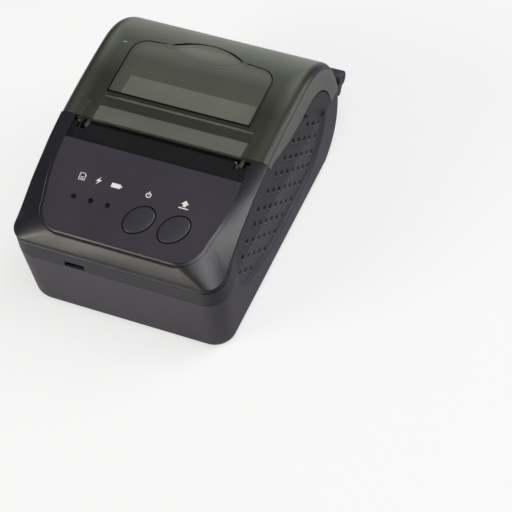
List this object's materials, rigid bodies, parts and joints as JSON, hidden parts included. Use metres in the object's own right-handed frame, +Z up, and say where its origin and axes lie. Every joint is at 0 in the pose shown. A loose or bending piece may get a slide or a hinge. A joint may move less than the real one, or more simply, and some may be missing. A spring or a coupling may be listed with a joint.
{
  "type": "portable thermal printer",
  "caption": "Hand-sized receipt printer with a hinged smoked cover over a paper bay, sloping key panel, print head and platen, motor gear train, battery and boards",
  "frame": {"origin": "centre of the bounding box in plan, on the plane the feet stand on", "axes": "+Z up, -Y towards the front with the key panel, +Y towards the hinge, +X to the right seen from the front"},
  "size_m": [0.08, 0.1134, 0.052],
  "materials": {
    "shell": "charcoal moulded ABS, fine spark texture",
    "casing": "charcoal moulded ABS, satin",
    "bezel": "charcoal moulded ABS, satin",
    "panel": "printed polycarbonate overlay, satin",
    "button": "moulded ABS button, satin",
    "cover": "smoked translucent polycarbonate",
    "flap": "smoked translucent polycarbonate",
    "inner_plastic": "grey moulded ABS",
    "black_plastic": "black moulded plastic",
    "board": "green solder mask on glass epoxy",
    "lamp": "milky epoxy",
    "guide": "frosted acrylic",
    "tinplate": "tin-plated steel",
    "steel": "ground steel",
    "zinc_steel": "zinc-plated pressed steel",
    "aluminium": "milled aluminium",
    "ceramic": "glazed alumina",
    "brass": "turned brass",
    "wrap": "blue heat-shrink sleeve",
    "contact": "gold-plated spring brass",
    "ribbon": "amber polyimide film",
    "rubber": "moulded rubber",
    "gear_plastic": "natural acetal"
  },
  "bodies": {
    "base": {"lower_shell": "shell", "upper_casing": "casing", "front_bezel": "bezel", "control_panel": "panel", "power_switch": "black_plastic", "feed_switch": "black_plastic", "key_board": "board", "status_leds": "lamp", "light_guides": "guide", "main_board": "board", "board_chips": "black_plastic", "radio_module": "tinplate", "usb_socket": "tinplate", "battery": "wrap", "battery_contacts": "contact", "head_ribbon": "ribbon", "mechanism_frame": "zinc_steel", "head_pivot_pin": "steel", "head_springs": "steel", "stepper_motor": "zinc_steel", "idler_post": "steel", "tear_bar": "black_plastic", "paper_bay": "inner_plastic", "paper_sensor": "black_plastic", "hinge_pin": "steel", "hinge_spring": "steel", "case_screws": "zinc_steel", "frame_screws": "zinc_steel", "rubber_feet": "rubber"},
    "cover": {"cover_shell": "cover", "cover_frame": "inner_plastic", "platen_bushings": "brass", "flap_pins": "steel", "flap_springs": "steel"},
    "flap": {"release_flap": "flap"},
    "platen": {"platen_roller": "rubber", "platen_shaft": "steel", "platen_gear": "gear_plastic"},
    "idler": {"idler_gear": "gear_plastic"},
    "rotor": {"motor_shaft": "steel", "motor_pinion": "brass"},
    "head": {"thermal_head": "ceramic", "head_heatsink": "aluminium"},
    "power_key": {"power_button": "button"},
    "feed_key": {"feed_button": "button"},
    "door": {"battery_door": "shell"}
  },
  "joints": [
    {"name": "cover_hinge", "type": "hinge", "parent": "base", "child": "cover", "pos_m": [0, 0.0539, 0.0255], "axis": [-1, 0, 0], "range_deg": [0, 95]},
    {"name": "flap_pivot", "type": "hinge", "parent": "cover", "child": "flap", "pos_m": [0, -0.004, 0.0466], "axis": [1, 0, 0], "range_deg": [0, 11], "stiffness_Nm_per_rad": 0.02, "springref_deg": -11.46},
    {"name": "platen_spin", "type": "hinge", "parent": "cover", "child": "platen", "pos_m": [0, -0.0035, 0.0415], "axis": [1, 0, 0], "continuous": true},
    {"name": "idler_spin", "type": "hinge", "parent": "base", "child": "idler", "pos_m": [-0.0353, -0.0026, 0.03305], "axis": [1, 0, 0], "continuous": true},
    {"name": "motor_spin", "type": "hinge", "parent": "base", "child": "rotor", "pos_m": [-0.0327, -0.0055, 0.024], "axis": [1, 0, 0], "continuous": true},
    {"name": "head_tilt", "type": "hinge", "parent": "base", "child": "head", "pos_m": [0, -0.01035, 0.0326], "axis": [1, 0, 0], "range_deg": [0, 1.3], "stiffness_Nm_per_rad": 0.2, "springref_deg": -2.86},
    {"name": "power_press", "type": "slide", "parent": "base", "child": "power_key", "axis": [0, 0.2185, -0.9758], "range_m": [0, 0.0007], "stiffness_N_per_m": 800, "springref_m": -0.0006},
    {"name": "feed_press", "type": "slide", "parent": "base", "child": "feed_key", "axis": [0, 0.2185, -0.9758], "range_m": [0, 0.0007], "stiffness_N_per_m": 800, "springref_m": -0.0006},
    {"name": "door_off", "type": "slide", "parent": "base", "child": "door", "axis": [0, 0, -1], "range_m": [0, 0.03]}
  ],
  "couplings": [
    {"joint": "idler_spin", "follows": "platen_spin", "ratio": -1.8333},
    {"joint": "motor_spin", "follows": "platen_spin", "ratio": 5.1333}
  ]
}
